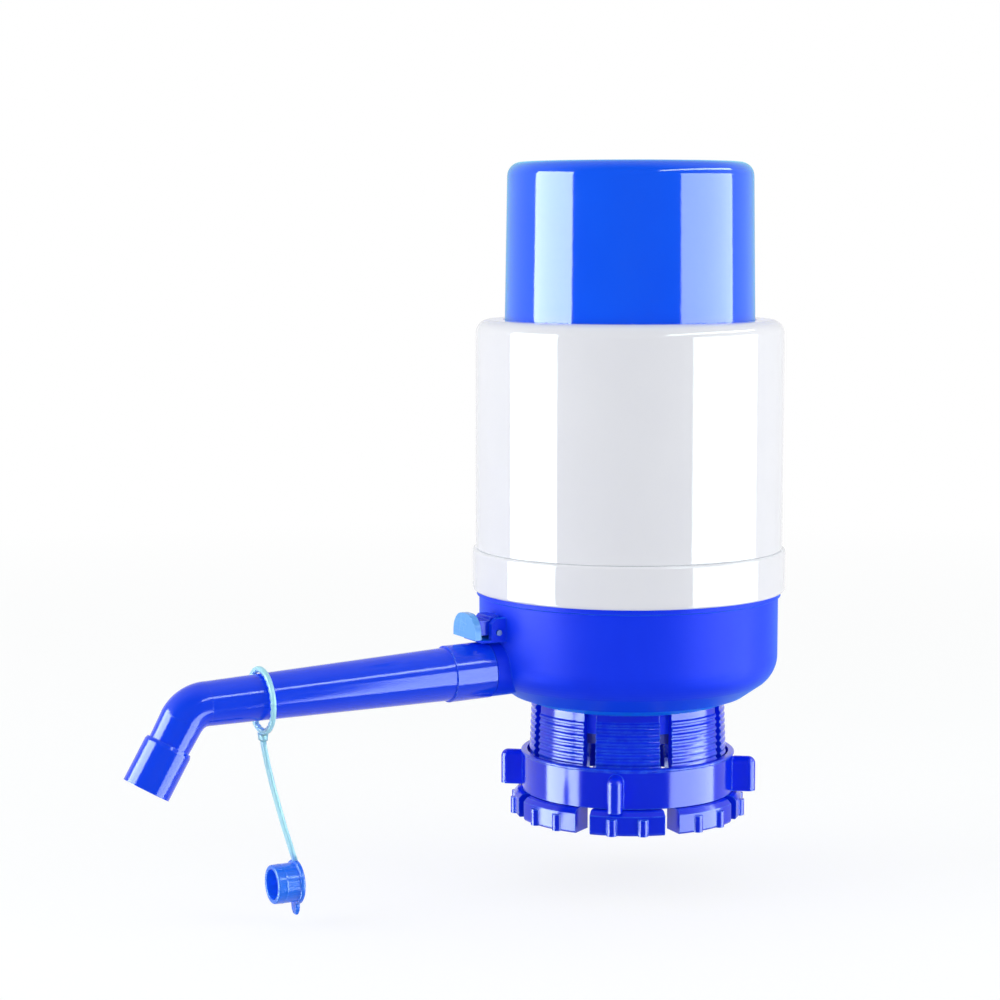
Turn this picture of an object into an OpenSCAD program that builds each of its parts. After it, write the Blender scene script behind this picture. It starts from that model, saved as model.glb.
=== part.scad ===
// Hand pump for a large water jug. Pressing the cap squeezes a bellows, whose
// air pushes the water up through the spout. The origin is the mouth of the
// fingers that grip the jug's neck, +Z is up and the spout points along -X.

/* [Press cap] */
// How much narrower the cap is at its top
cap_draft = 0.8; // [0:0.1:1.5]
// Height of the cap above the casing at rest
cap_rise = 49.1; // [45:0.1:60]
// Wall of the cap
cap_wall = 2.0; // [1.5:0.1:2.5]
// Rounding of the cap's top edge
cap_edge_r = 4.4; // [3:0.1:6]
// Thickness of the flange that stops the cap
cap_flange_h = 2.5; // [2:0.1:4]

/* [Casing] */
// Outer radius of the casing
casing_r = 48.6; // [44:0.1:54]
// Height of the casing above its collar
casing_h = 72.2; // [68:0.1:90]
// Wall of the casing
casing_wall = 2.2; // [1.8:0.1:2.6]
// Rounding of the casing's shoulder
shoulder_r = 8; // [6:0.1:9]
// Width of the flat ring between the shoulder and the mouth
shoulder_flat = 0.8; // [0.4:0.1:3]
// Gap between the cap and the casing's mouth
cap_gap = 0.4; // [0.3:0.05:0.8]
// Length of the sleeve inside the casing's mouth
sleeve_h = 8.5; // [6:0.5:12]

/* [Casing collar] */
// How far the collar stands proud of the casing
collar_step = 1.0; // [0.5:0.1:2]
// Height of the collar
collar_h = 13.3; // [10:0.1:18]

/* [Base cup] */
// How far the cup's wall lies inside the casing's
cup_inset = 1.1; // [0.9:0.1:2]
// Height of the cup's lip under the collar
cup_lip_h = 1.8; // [1:0.1:3]
// Wall of the cup
cup_wall = 2.4; // [2:0.1:3]
// Radius of the rounding between wall and underside
cup_round_r = 10.9; // [9:0.1:12]
// Angle through which that rounding turns
cup_round_angle = 48.5; // [40:0.5:55]
// Height of the cup's straight wall
cup_straight_h = 18.7; // [17:0.1:26]
// Drop of the underside from its edge to the neck
cup_under_drop = 6.9; // [6:0.1:9]

/* [Neck collet] */
// Inner radius of the fingers where they grip the neck
neck_r = 27.9; // [26.5:0.1:28.2]
// Height of the grip band
grip_h = 12; // [9:0.5:12.5]
// Height of the slots between the fingers
finger_h = 36.6; // [36:0.1:42]
// Number of fingers
finger_count = 8; // [6:1:10]
// Angle of one slot
slot_angle = 7.5; // [5:0.5:10]
// Wall of the fingers between the threads, at their roots
finger_wall = 2.5; // [2.1:0.05:2.9]
// How far the fingers lean out at the foot
finger_lean = 1.0; // [0:0.1:1.2]
// Depth of the thread on the fingers
thread_depth = 0.45; // [0.3:0.05:0.6]
// Pitch of that thread
thread_pitch = 2; // [1.5:0.5:3]
// How far the flared feet reach out from the fingers
foot_reach = 5.0; // [4.5:0.1:6]
// Height of the flared feet
foot_h = 7.6; // [6:0.1:7.8]
// Radius of the two ribs on each foot
foot_rib_r = 1.6; // [1:0.1:2]

/* [Clamp ring] */
// Wall of the ring
ring_wall = 1.55; // [1.3:0.05:2.5]
// Height of the ring
ring_h = 12.5; // [9:0.1:13]
// Gap between the ring and the fingers' thread
ring_gap = 0.35; // [0.3:0.05:0.5]
// How far the wings reach out from the ring
wing_reach = 7.2; // [5:0.1:9]
// Thickness of the wings
wing_t = 4.6; // [3:0.1:6]
// How far the wings' tops lie below the ring's top
wing_drop = 1.4; // [0:0.1:3]

/* [Spout] */
// How far the spout's axis lies below the top of the cup's rounding
port_drop = 0.1; // [-2:0.1:0.2]
// Droop of the spout below level
spout_droop = 1.8; // [0:0.1:2]
// How much narrower the port is than the spout's socket
port_step = 0.2; // [0:0.1:0.6]
// How far the port stands out of the cup's wall
port_out = 3.4; // [2:0.1:4]
// How far the socket stands proud of the tube
socket_step = 0.55; // [0.4:0.05:1]
// Wall of the spout's socket
socket_wall = 1.83; // [1.5:0.01:2]
// Length of the spout's socket
socket_l = 13.6; // [12:0.1:18]
// Radius of the tube next to the socket
tube_r = 8.25; // [7.8:0.05:8.5]
// Radius of the tube at the elbow
tube_end_r = 6.7; // [6.3:0.05:7]
// Wall of the tube
tube_wall = 1.8; // [1.5:0.1:2]
// Distance of the elbow's corner from the pump's axis
elbow_x = 148.7; // [130:0.1:170]
// Radius of the elbow's centre line
elbow_r = 9; // [8:0.5:12]
// Turn of the elbow
elbow_turn = 58.2; // [40:0.1:75]
// Length of the nozzle's tube after the elbow
nozzle_l = 8.2; // [6:0.1:15]
// Wall of the bell at the nozzle's end
bell_wall = 1.2; // [1:0.05:1.8]
// Length of the bell
bell_l = 14.3; // [12:0.1:18]
// Bore of the bell, as a radius
bell_bore_r = 6.15; // [5.9:0.05:6.6]
// Depth of that bore
bell_bore_l = 9; // [7:0.5:11]
// Radial clearance between spigot and socket
swivel_fit = 0.07; // [0.03:0.01:0.1]
// Radius of the water channel
channel_r = 4; // [3:0.1:4.2]

/* [Dip tube socket] */
// Bore of the socket for the dip tube, as a radius
dip_r = 5.1; // [4.5:0.05:5.3]
// Depth of that socket
dip_depth = 16; // [12:0.5:17]
// Height of the socket's mouth
dip_z = 14; // [13:0.5:16]
// Wall of the socket
dip_wall = 1.5; // [1.2:0.1:2.5]

/* [Relief lever] */
// How far the lever's pin stands out from the cup's wall
lever_pin_out = 2.1; // [2:0.05:2.5]
// Height of the lever's pin above its shelf
lever_pin_lift = 3; // [3:0.1:3.6]
// Radius of the lever's pin
lever_pin_r = 0.9; // [0.7:0.05:1]
// Distance of the thumb plate from the pin
thumb_reach = 7.8; // [7.4:0.1:10]
// Width of the thumb plate
thumb_w = 15; // [11:0.5:18]
// Height of the thumb plate
thumb_h = 7.6; // [6:0.1:9]
// Thickness of the thumb plate
thumb_t = 2.2; // [1.6:0.1:3]
// Width of the lever's arm
arm_w = 8; // [7:0.2:9]
// Height of the lever's arm
arm_h = 4.6; // [4.2:0.1:5]

/* [Tether] */
// Distance of the tether's loop from the spout's bend
loop_back = 17.7; // [5:0.1:40]
// Inner radius of the loop
loop_r = 8.4; // [8.2:0.1:9.5]
// Thickness of the loop's wire
loop_wire = 2.1; // [1.6:0.1:2.4]
// Gap between the dust cap's plug and the nozzle's bore
plug_fit = 0.2; // [0.1:0.05:0.4]
// Length of that plug
plug_l = 7; // [5:0.5:8.5]
// How far the dust cap's flange stands proud of the plug
flange_step = 0.85; // [0.5:0.05:1.5]
// Thickness of that flange
flange_t = 1.4; // [1:0.1:2]

/* [Bellows and spring] */
// Gap between the bellows and the cap
bellows_gap = 2; // [1.9:0.1:4]
// Depth of a fold
fold_depth = 8; // [5:0.5:9]
// Number of folds
fold_count = 12; // [8:1:14]
// Wall of the bellows
bellows_wall = 1.2; // [0.8:0.1:1.6]
// Gap between the bellows and the return spring
spring_gap = 5.1; // [3:0.1:7]
// Wire of the return spring, as a radius
spring_wire_r = 1.1; // [0.8:0.1:1.3]
// Turns of the return spring
spring_turns = 9; // [6:1:12]

/* [Hidden] */
$fn = 64;

// Small distances that the fits share
touch = 0.1;
seam = 0.3;
cut = 1;

// Heights, from the fingers' mouth up
cup_under_z = finger_h;
cup_edge_z = cup_under_z + cup_under_drop;
cup_round_h = cup_round_r * sin(cup_round_angle);
cup_wall_z = cup_edge_z + cup_round_h;
lip_z = cup_wall_z + cup_straight_h;
collar_z = lip_z + cup_lip_h;
casing_z = collar_z + collar_h;
casing_top = casing_z + casing_h;
cap_top = casing_top + cap_rise;

// Radii of the shells
casing_inner_r = casing_r - casing_wall;
collar_r = casing_r + collar_step;
mouth_r = casing_r - shoulder_r - shoulder_flat;
cap_r = mouth_r - cap_gap;
cup_r = casing_r - cup_inset;
lip_step = 0.8;
lip_r = cup_r + lip_step;
rim_r = casing_inner_r - touch;
rim_wall = 1.8;
rim_h = 6.4;
cup_inner_r = cup_r - cup_wall;
cup_edge_r = cup_r - cup_round_r * (1 - cos(cup_round_angle));

// The cap's flange stops under the casing's sleeve
flange_top = casing_top - sleeve_h - seam;
cap_foot = flange_top - cap_flange_h;
cap_inner_r = cap_r - cap_wall;
cap_top_r = cap_r - cap_draft;
cap_ceiling = cap_top - cap_wall;
cap_flange_r = casing_inner_r - 0.5;

// The deck stands on a ledge in the cup
deck_t = 3;
ledge_drop = 5.6;
ledge_w = 2.2;
ledge_z = casing_z - ledge_drop;
deck_top = ledge_z + deck_t;
deck_r = rim_r - rim_wall - seam;
ledge_r = deck_r - ledge_w;
screw_count = 4;
screw_inset = 3.2;
screw_ring_r = deck_r - screw_inset;
screw_turn = 45;
screw_r = 1.4;
screw_head_r = 2.3;
screw_l = 13;
screw_fit = 0.05;
screw_boss_r = 4.3;
screw_boss_h = 14;
screw_hole_h = 12;
bellows_foot_edge = 1.6;
bellows_foot_r = screw_ring_r - screw_r - bellows_foot_edge;
bellows_foot_t = 1.6;
clamp_plate_t = 3;

// The bellows ends under the plate that hangs in the cap
plate_t = 2.4;
plate_boss_h = 3.4;
plate_inset = 1.4;
bellows_r = cap_inner_r - bellows_gap;
bellows_valley_r = bellows_r - fold_depth;
plate_r = bellows_r - plate_inset;
plate_z = cap_ceiling - plate_boss_h - plate_t;
spring_r = bellows_valley_r - bellows_wall - spring_gap - spring_wire_r;
spring_seat_r = spring_r - spring_wire_r - 0.4;
spring_seat_wall = 2;
deck_seat_h = 2.3;
plate_seat_h = 3.6;
spring_low = deck_top + touch;
spring_high = plate_z - touch;
fold_h = (plate_z - deck_top - 2 * bellows_foot_t) / fold_count;
valve_r = 10;
valve_t = 1.2;
valve_gap = 0.1;
valve_travel = 1.2;
stem_r = 1.9;
stem_fit = 0.15;
bead_r = 2.8;
bead_h = 1.6;
air_hole_r = 1.7;
air_hole_ring_r = 6.4;
air_hole_count = 6;
boss_wall = 2;
boss_inner_r = valve_r + 2;
boss_slot_w = 6;

// The collet's ring sits in a recess under the cup
recess_h = 3.4;
recess_gap = 0.1;
hub_top = cup_under_z + recess_h + 2.5;
gasket_depth = 6.6;
gasket_top = cup_under_z - gasket_depth;
collet_relief_r = neck_r + 0.5;
gasket_t = 3;
gasket_w = 6.9;
gasket_inner_r = collet_relief_r - gasket_w;
thread_low = foot_h + 1.6;
finger_r = neck_r + finger_wall;
foot_r = finger_r + finger_lean + foot_reach;
finger_angle = 360 / finger_count;
finger_turn = 15;
rib_angle = 7.7;

// The clamp ring rests on the feet
ring_z = foot_h + 0.2;
ring_bore_r = finger_r + finger_lean + thread_depth + ring_gap;
ring_r = ring_bore_r + ring_wall;
wing_r = ring_r + wing_reach;
wing_count = 4;
wing_turn = 54;

// The spout's own frame has Z along the spout and X upward
port_z = cup_wall_z - port_drop;
port_face = cup_r + port_out;
socket_r = tube_r + socket_step;
port_r = socket_r - port_step;
spigot_r = socket_r - socket_wall - swivel_fit;
spigot_end = port_face + 10.5;
socket_start = port_face + seam;
socket_end = socket_start + socket_l;
socket_bore_r = spigot_r + swivel_fit;
socket_bore_end = spigot_end + seam;
o_ring_groove_r = spigot_r - 1.6;
o_ring_gap = 0.04;
o_ring_r = (socket_bore_r - o_ring_groove_r) / 2 - o_ring_gap;
o_ring_mid_r = (socket_bore_r + o_ring_groove_r) / 2;
o_ring_places = [port_face + 3.6, port_face + 7.4];
bend_start = elbow_x - elbow_r * tan(elbow_turn / 2);
tube_bore_r = tube_r - tube_wall - 0.6;
end_bore_r = tube_end_r - tube_wall;
nozzle_end_r = tube_end_r - 0.35;
bell_r = bell_bore_r + bell_wall;
arm_wall = 1.3;
elbow_arm_r = channel_r + arm_wall;
elbow_fit = 0.08;
arm_bore_end = cup_r - 3.5;
port_inner = arm_bore_end - 14;
dip_outer_r = dip_r + dip_wall;

// The lever and its bracket stand above the spout's socket
shelf_gap = 0.42;
shelf_z = port_z + socket_r - port_face * sin(spout_droop) + shelf_gap;
shelf_t = 0.8;
lever_pin_x = cup_r + lever_pin_out;
lever_pin_z = shelf_z + lever_pin_lift;
thumb_x = lever_pin_x + thumb_reach;
ear_t = 2;
ear_gap = 0.3;
ear_top = lever_pin_z + 4.4;
hub_r = 1.85;
hub_top_h = 5;
hub_back = 2.2;
hub_front = 1;
arm_drop = 0.9;
vent_z = lever_pin_z + 3.1;
vent_r = 1;
vent_seat_r = 1.8;
vent_seat_x = cup_r + 0.5;
seal_r = 1.7;
seal_t = 1.2;
pin_fit = 0.05;
lever_spring_x = lever_pin_x + 3.6;
shelf_end = lever_spring_x + 2.2;
lever_spring_r = 1.5;
lever_spring_wire_r = 0.25;
lever_spring_turns = 3;
spring_pocket_r = 2.2;
spring_pocket_h = 2.6;
lever_spring_low = shelf_z + shelf_t + touch;
lever_spring_high = lever_pin_z - arm_drop + spring_pocket_h - touch;

// The loop hangs on the tube, and its eyelet ends below the spout's axis
loop_x = bend_start - loop_back;
loop_tube_r = tube_r + (tube_end_r - tube_r) * (loop_x - socket_end) / (bend_start - socket_end);
loop_droop = loop_r - loop_tube_r - seam;
eyelet_h = 1.6;
eyelet_low = loop_droop + loop_r + loop_wire + eyelet_h;
eyelet = [eyelet_low * sin(spout_droop) - loop_x * cos(spout_droop),
    port_z - loop_x * sin(spout_droop) - eyelet_low * cos(spout_droop)];

// The strap's route, from the eyelet to the dust cap's flange: X and Z
strap_w = 2.4;
strap_t = 1.3;
strap_route = [[0, 0.1], [0.3, -2.3], [0.8, -4.8], [1.3, -7.3], [1.9, -9.8], [2.5, -12.3],
    [3.1, -14.8], [3.8, -17.3], [4.5, -19.8], [5.2, -22.3], [5.9, -24.8], [6.6, -27.3],
    [7.4, -29.8], [8.2, -32.3], [9, -34.9], [9.9, -37.6]];
strap_points = [for (p = strap_route) eyelet + p];
strap_end = strap_points[len(strap_points) - 1];
plug_r = bell_bore_r - plug_fit;
plug_wall = 1.4;
flange_r = plug_r + flange_step;
cap_mid_z = strap_end[1] - flange_r + touch;
cap_back_x = strap_end[0] + flange_t / 2 + touch;
tab_w = 3.4;
tab_h = 4.2;

// Shared shapes

// Points on an arc, from the angle a0 to the angle a1
function arc(x, z, r, a0, a1, n) =
    [for (i = [0 : n]) let (a = a0 + (a1 - a0) * i / n) [x + r * cos(a), z + r * sin(a)]];

// A round tube swept along points, closed by flat ends
module swept(rings) {
    sides = len(rings[0]);
    last = len(rings) - 1;
    walls = [for (i = [0 : last - 1], s = [0 : sides - 1])
        let (a = i * sides + s, b = i * sides + (s + 1) % sides)
        each [[a, a + sides, b], [b, a + sides, b + sides]]];
    start = [for (s = [1 : sides - 2]) [0, s, s + 1]];
    end = [for (s = [1 : sides - 2]) [last * sides, last * sides + s + 1, last * sides + s]];
    polyhedron(points = [for (ring = rings) each ring], faces = concat(walls, start, end));
}

// Middle of a coil's wire after t turns: the ends lie flat, with a wire's width between turns
function coil_height(t, wire, z0, z1, turns) =
    let (lift = 2 * wire + 0.6, rise = z1 - z0 - 2 * wire - 2 * lift)
    z0 + wire + lift * min(t, 1) + rise * max(0, min(1, (t - 1) / (turns - 2)))
        + lift * max(t - turns + 1, 0);

// One ring of a coil's wire, of six sides, after t turns
function wire_ring(r, wire, t, z) =
    [for (s = [0 : 5]) let (b = 60 * s)
        [(r + wire * cos(b)) * cos(360 * t), (r + wire * cos(b)) * sin(360 * t), z + wire * sin(b)]];

// Least gap between one turn and the next, measured at the ring middles
function coil_gap(wire, z0, z1, turns, steps) =
    min([for (i = [0 : (turns - 1) * steps])
        coil_height(i / steps + 1, wire, z0, z1, turns) - coil_height(i / steps, wire, z0, z1, turns)])
        - 2 * wire;

// A coil spring that stands on z0 and reaches z1
module coil(r, wire, z0, z1, turns, steps) {
    swept([for (i = [0 : turns * steps])
        wire_ring(r, wire, i / steps, coil_height(i / steps, wire, z0, z1, turns))]);
}

// Puts children in the spout's own frame
module on_spout() {
    translate([0, 0, port_z]) rotate([0, -90 - spout_droop, 0]) children();
}

// Puts children at the end of the elbow
module after_elbow() {
    translate([elbow_r * (cos(elbow_turn) - 1), 0, bend_start + elbow_r * sin(elbow_turn)])
        rotate([0, -elbow_turn, 0]) children();
}

// The elbow's bend, solid, of one radius
module bend(r) {
    translate([-elbow_r, 0, bend_start]) rotate([90, 0, 0])
        rotate_extrude(angle = elbow_turn) translate([elbow_r, 0]) circle(r = r);
}

// Copies of the children round the Z axis
module ring_of(count, r) {
    for (i = [0 : count - 1]) rotate([0, 0, 360 * i / count]) translate([r, 0, 0]) children();
}

// A disc valve with its stem and bead, hanging under a plate whose faces are z0 and z1
module disc_valve(z0, z1) {
    disc_z = z0 - valve_gap - valve_t;
    bead_z = z1 + valve_travel + valve_gap;
    translate([0, 0, disc_z]) cylinder(r = valve_r, h = valve_t);
    translate([0, 0, disc_z]) cylinder(r = stem_r, h = bead_z + bead_h / 2 - disc_z);
    translate([0, 0, bead_z]) cylinder(r1 = bead_r, r2 = stem_r - 0.4, h = bead_h);
}

// The holes for a disc valve's stem and air
module valve_holes(z0, h) {
    translate([0, 0, z0 - cut]) cylinder(r = stem_r + stem_fit, h = h + 2 * cut);
    ring_of(air_hole_count, air_hole_ring_r)
        translate([0, 0, z0 - cut]) cylinder(r = air_hole_r, h = h + 2 * cut);
}

// Sub-parts

// Cup-shaped cap with a stop flange round its foot
module press_cap() {
    edge = cap_edge_r;
    inner_edge = edge - cap_wall;
    boss_r = boss_inner_r + boss_wall;
    color("#1f5cfe") {
        rotate_extrude($fn = 96) polygon(concat(
            [[0, cap_top]],
            arc(cap_top_r - edge, cap_top - edge, edge, 90, 0, 8),
            [[cap_r, casing_top], [cap_r, flange_top], [cap_flange_r, flange_top],
                [cap_flange_r, cap_foot], [cap_inner_r, cap_foot], [cap_inner_r, casing_top]],
            arc(cap_top_r - edge, cap_top - edge, inner_edge, 0, 90, 6),
            [[0, cap_ceiling]]));
        difference() {
            translate([0, 0, plate_z + plate_t]) cylinder(r = boss_r, h = plate_boss_h + touch);
            translate([0, 0, plate_z]) cylinder(r = boss_inner_r, h = plate_boss_h + plate_t + cut);
            for (a = [0, 90]) rotate([0, 0, a]) translate([-boss_r - cut, -boss_slot_w / 2, plate_z])
                cube([2 * (boss_r + cut), boss_slot_w, plate_t + 2]);
        }
    }
}

// Plate that closes the bellows and carries the intake valve
module bellows_top_plate() {
    color("#e9edf2") difference() {
        union() {
            translate([0, 0, plate_z]) cylinder(r = plate_r, h = plate_t);
            translate([0, 0, plate_z - plate_seat_h]) difference() {
                cylinder(r = spring_seat_r, h = plate_seat_h + touch);
                translate([0, 0, -cut])
                    cylinder(r = spring_seat_r - spring_seat_wall, h = plate_seat_h + 3 * cut);
            }
        }
        valve_holes(plate_z, plate_t);
    }
}

// Rubber disc that lets air into the bellows
module intake_valve() {
    color("#d9dde2") disc_valve(plate_z, plate_z + plate_t);
}

// White barrel with a rounded shoulder and a sleeve that guides the cap
module casing() {
    inner = shoulder_r - casing_wall;
    sleeve_r = mouth_r + 2;
    color("#f7f8fc") rotate_extrude($fn = 96) polygon(concat(
        [[casing_inner_r, casing_z], [casing_r, casing_z]],
        arc(casing_r - shoulder_r, casing_top - shoulder_r, shoulder_r, 0, 90, 10),
        [[mouth_r, casing_top], [mouth_r, casing_top - sleeve_h],
            [sleeve_r, casing_top - sleeve_h], [sleeve_r, casing_top - casing_wall]],
        [for (p = arc(casing_r - shoulder_r, casing_top - shoulder_r, inner, 80, 0, 8))
            if (p[0] > sleeve_r) p]));
}

// White ring that covers the joint between casing and cup
module casing_collar() {
    edge = 0.9;
    color("#f7f9fc") rotate_extrude($fn = 96) polygon(concat(
        [[casing_inner_r, collar_z]],
        arc(collar_r - edge, collar_z + edge, edge, -90, 0, 4),
        arc(collar_r - edge, casing_z - edge, edge, 0, 90, 4),
        [[casing_inner_r, casing_z]]));
}

// Folded air bag between the deck and the top plate
module bellows() {
    low = deck_top + bellows_foot_t;
    peak = bellows_r;
    valley = bellows_valley_r;
    w = bellows_wall;
    outer = [for (i = [0 : fold_count - 1])
        each [[valley, low + fold_h * i], [peak, low + fold_h * (i + 0.5)]]];
    top = low + fold_h * fold_count;
    inner = [for (i = [fold_count - 1 : -1 : 0])
        each [[peak - w * 1.3, low + fold_h * (i + 0.5)], [valley - w, low + fold_h * i]]];
    color("#e6eaf0") rotate_extrude() polygon(concat(
        [[valley - w, deck_top], [bellows_foot_r, deck_top], [bellows_foot_r, low]],
        outer,
        [[valley, top], [plate_r, top], [plate_r, plate_z], [valley - w, plate_z]],
        [[valley - w, top]],
        inner));
}

// Steel coil inside the bellows, from the deck to the top plate
module return_spring() {
    color("#b9bec6") coil(spring_r, spring_wire_r, spring_low, spring_high, spring_turns, 24);
}

// Plate ring that clamps the bellows' foot
module bellows_ring() {
    z = deck_top + bellows_foot_t;
    color("#1a3fd0") difference() {
        union() {
            translate([0, 0, z]) cylinder(r = deck_r, h = clamp_plate_t);
            translate([0, 0, deck_top]) cylinder(r = deck_r, h = bellows_foot_t + touch);
        }
        translate([0, 0, deck_top - cut])
            cylinder(r = bellows_foot_r + touch, h = bellows_foot_t + cut);
        translate([0, 0, deck_top - cut])
            cylinder(r1 = bellows_r - 3, r2 = bellows_r + 2, h = clamp_plate_t + bellows_foot_t + 2 * cut);
        rotate([0, 0, screw_turn]) ring_of(screw_count, screw_ring_r) translate([0, 0, deck_top - cut])
            cylinder(r = screw_r + screw_fit, h = clamp_plate_t + bellows_foot_t + 2 * cut);
    }
}

// Four screws that hold the clamp ring and the deck down
module deck_screws() {
    head_z = deck_top + bellows_foot_t + clamp_plate_t;
    color("#aeb3ba") rotate([0, 0, screw_turn]) ring_of(screw_count, screw_ring_r) {
        translate([0, 0, head_z - screw_l]) cylinder(r = screw_r, h = screw_l);
        difference() {
            translate([0, 0, head_z]) cylinder(r = screw_head_r, h = 1.8);
            for (a = [0, 90]) rotate([0, 0, a])
                translate([-1.5, -0.3, head_z + 0.9]) cube([3, 0.6, 2]);
        }
    }
}

// Plate between the bellows and the cup's air space
module valve_deck() {
    color("#e9edf2") difference() {
        union() {
            translate([0, 0, ledge_z]) cylinder(r = deck_r, h = deck_t);
            translate([0, 0, deck_top - touch]) cylinder(r = spring_seat_r, h = deck_seat_h + touch);
        }
        translate([0, 0, deck_top])
            cylinder(r = spring_seat_r - spring_seat_wall, h = deck_seat_h + cut);
        valve_holes(ledge_z, deck_t);
        rotate([0, 0, screw_turn]) ring_of(screw_count, screw_ring_r) translate([0, 0, ledge_z - cut])
            cylinder(r = screw_r + screw_fit, h = deck_t + 2 * cut);
    }
}

// Rubber disc that lets air out of the bellows and not back
module outlet_valve() {
    color("#d9dde2") disc_valve(ledge_z, deck_top);
}

// The cup's shell, without the port and the lever's bracket
module cup_shell() {
    rim_inner = rim_r - rim_wall;
    rim_top = casing_z + rim_h;
    round_x = cup_r - cup_round_r;
    inner_round = cup_round_r - cup_wall;
    neck_x = finger_r + thread_depth;
    mid_x = (cup_edge_r + neck_x) / 2;
    mid_z = cup_under_z + cup_under_drop * 0.34;
    rotate_extrude($fn = 96) polygon(concat(
        [[rim_inner, rim_top], [rim_r, rim_top], [rim_r, collar_z], [lip_r, collar_z],
            [lip_r, lip_z + 0.3], [cup_r, lip_z]],
        arc(round_x, cup_wall_z, cup_round_r, 0, -cup_round_angle, 8),
        [[mid_x, mid_z], [neck_x, cup_under_z], [neck_x - recess_gap, cup_under_z],
            [neck_x - recess_gap, cup_under_z + recess_h],
            [collet_relief_r - recess_gap, cup_under_z + recess_h],
            [collet_relief_r - recess_gap, gasket_top], [gasket_inner_r, gasket_top],
            [gasket_inner_r, hub_top], [collet_relief_r + 5, hub_top],
            [mid_x, mid_z + cup_wall]],
        arc(round_x, cup_wall_z, inner_round, -cup_round_angle, 0, 8),
        [[cup_inner_r, ledge_z - 5], [ledge_r, ledge_z - 2], [ledge_r, ledge_z],
            [rim_inner, ledge_z]]));
}

// Two ears, a shelf and the vent's seat, on the cup's wall
module lever_bracket() {
    ear_y = arm_w / 2 + ear_gap;
    ear_len = lever_pin_out + 4.1;
    for (side = [0, 1]) mirror([0, side, 0])
        translate([-cup_r + 1.5, ear_y + ear_t, 0]) rotate([90, 0, 0])
            linear_extrude(ear_t) polygon([[0, shelf_z], [-ear_len, shelf_z],
                [-ear_len, ear_top - 1.6], [-ear_len + 1.6, ear_top], [0, ear_top]]);
    translate([-shelf_end, -ear_y - ear_t, shelf_z])
        cube([shelf_end - cup_r + 1.2, 2 * (ear_y + ear_t), shelf_t]);
    translate([-vent_seat_x, 0, vent_z]) rotate([0, 90, 0]) cylinder(r = vent_seat_r, h = 2.5);
}

// Blue cup with the port for the spout
module base_cup() {
    color("#1240e8") difference() {
        union() {
            cup_shell();
            on_spout() {
                translate([0, 0, port_inner]) cylinder(r = port_r, h = port_face - port_inner);
                translate([0, 0, port_face - cut]) cylinder(r = spigot_r, h = spigot_end - port_face + cut);
            }
            lever_bracket();
            rotate([0, 0, screw_turn]) ring_of(screw_count, screw_ring_r)
                translate([0, 0, ledge_z - screw_boss_h])
                    cylinder(r = screw_boss_r, h = screw_boss_h - 2 * touch);
        }
        on_spout() {
            translate([0, 0, port_inner - cut])
                cylinder(r = elbow_arm_r + elbow_fit, h = arm_bore_end - port_inner + cut);
            cylinder(r = channel_r, h = spigot_end + cut);
            for (z = o_ring_places) translate([0, 0, z - o_ring_r - 0.2]) difference() {
                cylinder(r = spigot_r + cut, h = 2 * o_ring_r + 0.4);
                translate([0, 0, -cut]) cylinder(r = o_ring_groove_r, h = 2 * o_ring_r + 0.4 + 2 * cut);
            }
        }
        translate([-vent_seat_x - cut, 0, vent_z]) rotate([0, 90, 0])
            cylinder(r = vent_r, h = cup_wall + 3 + 2 * cut);
        translate([-lever_pin_x, -thumb_w, lever_pin_z]) rotate([-90, 0, 0])
            cylinder(r = lever_pin_r + pin_fit, h = 2 * thumb_w);
        rotate([0, 0, screw_turn]) ring_of(screw_count, screw_ring_r)
            translate([0, 0, ledge_z - screw_hole_h])
                cylinder(r = screw_r + screw_fit, h = screw_hole_h + cut);
    }
}

// Elbow from the dip tube's socket to the port
module water_elbow() {
    crown = port_z + dip_outer_r + 1.5;
    color("#dfe5ee") difference() {
        union() {
            translate([0, 0, dip_z]) cylinder(r = dip_outer_r, h = crown - dip_z);
            on_spout() cylinder(r = elbow_arm_r, h = arm_bore_end - touch);
        }
        translate([0, 0, dip_z - cut]) cylinder(r = dip_r, h = dip_depth + cut);
        translate([0, 0, dip_z])
            cylinder(r = channel_r + 0.4, h = port_z + channel_r + 1 - dip_z);
        on_spout() cylinder(r = channel_r, h = arm_bore_end + cut);
    }
}

// Soft ring that the jug's mouth presses on
module bottle_gasket() {
    color("#3a3d42") translate([0, 0, gasket_top - gasket_t]) difference() {
        cylinder(r = collet_relief_r - touch, h = gasket_t);
        translate([0, 0, -cut]) cylinder(r = gasket_inner_r, h = gasket_t + 2 * cut);
    }
}

// Outline of one finger, whose thread starts higher by the given shift
function finger_outline(shift) =
    let (low = thread_low,
        high = cup_under_z - 0.6,
        first = low + thread_pitch / 2 + shift,
        turns = floor((high - first - thread_pitch / 2) / thread_pitch),
        lean = finger_lean / (high - low))
    concat(
        [[neck_r, 0], [foot_r - 0.4, 0], [foot_r, 0.6], [foot_r, foot_h - 1.6],
            [foot_r - 1.2, foot_h - 0.3], [foot_r - 2.2, foot_h],
            [finger_r + finger_lean, foot_h]],
        [for (k = [0 : turns]) let (z = first + k * thread_pitch,
                r = finger_r + finger_lean - lean * (z - low))
            each [[r, z - 0.4 * thread_pitch], [r + thread_depth, z - 0.12 * thread_pitch],
                [r + thread_depth, z + 0.12 * thread_pitch], [r, z + 0.4 * thread_pitch]]],
        [[finger_r, cup_under_z + touch], [collet_relief_r, cup_under_z + touch],
            [collet_relief_r, grip_h + 1.5], [neck_r, grip_h]]);

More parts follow.
